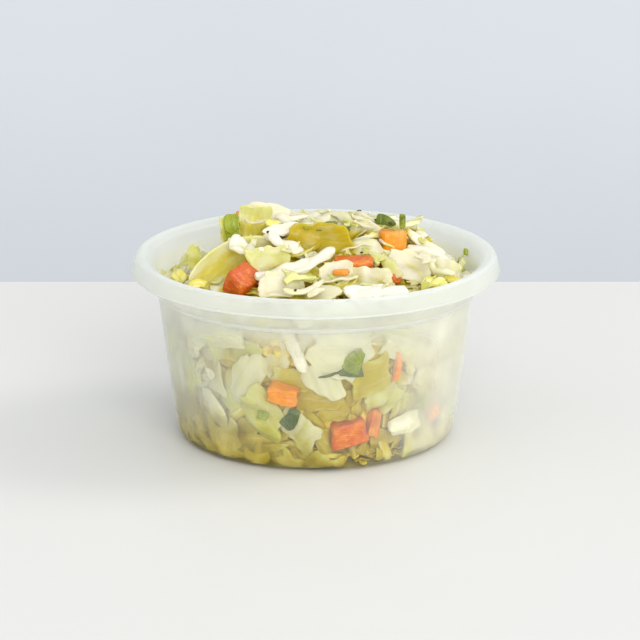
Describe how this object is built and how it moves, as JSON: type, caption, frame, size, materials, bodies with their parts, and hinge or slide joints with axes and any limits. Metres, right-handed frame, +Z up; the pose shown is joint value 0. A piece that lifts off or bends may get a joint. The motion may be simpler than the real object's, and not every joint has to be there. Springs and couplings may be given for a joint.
{
  "type": "coleslaw in a portion cup",
  "caption": "Chopped coleslaw with carrot and green leaf bits heaped in a round translucent plastic portion cup.",
  "frame": {"origin": "middle of the cup's resting face, on the surface that it stands on", "axes": "+Z up along the cup's axis; -Y is the side that faces the viewer"},
  "size_m": [0.074, 0.074, 0.045],
  "materials": {
    "cup_plastic": "thin milky translucent polypropylene, satin",
    "salad": "wet chopped cabbage, carrot and green leaf in a thin dressing"
  },
  "bodies": {
    "root": {"cup": "cup_plastic", "coleslaw": "salad"}
  },
  "joints": []
}
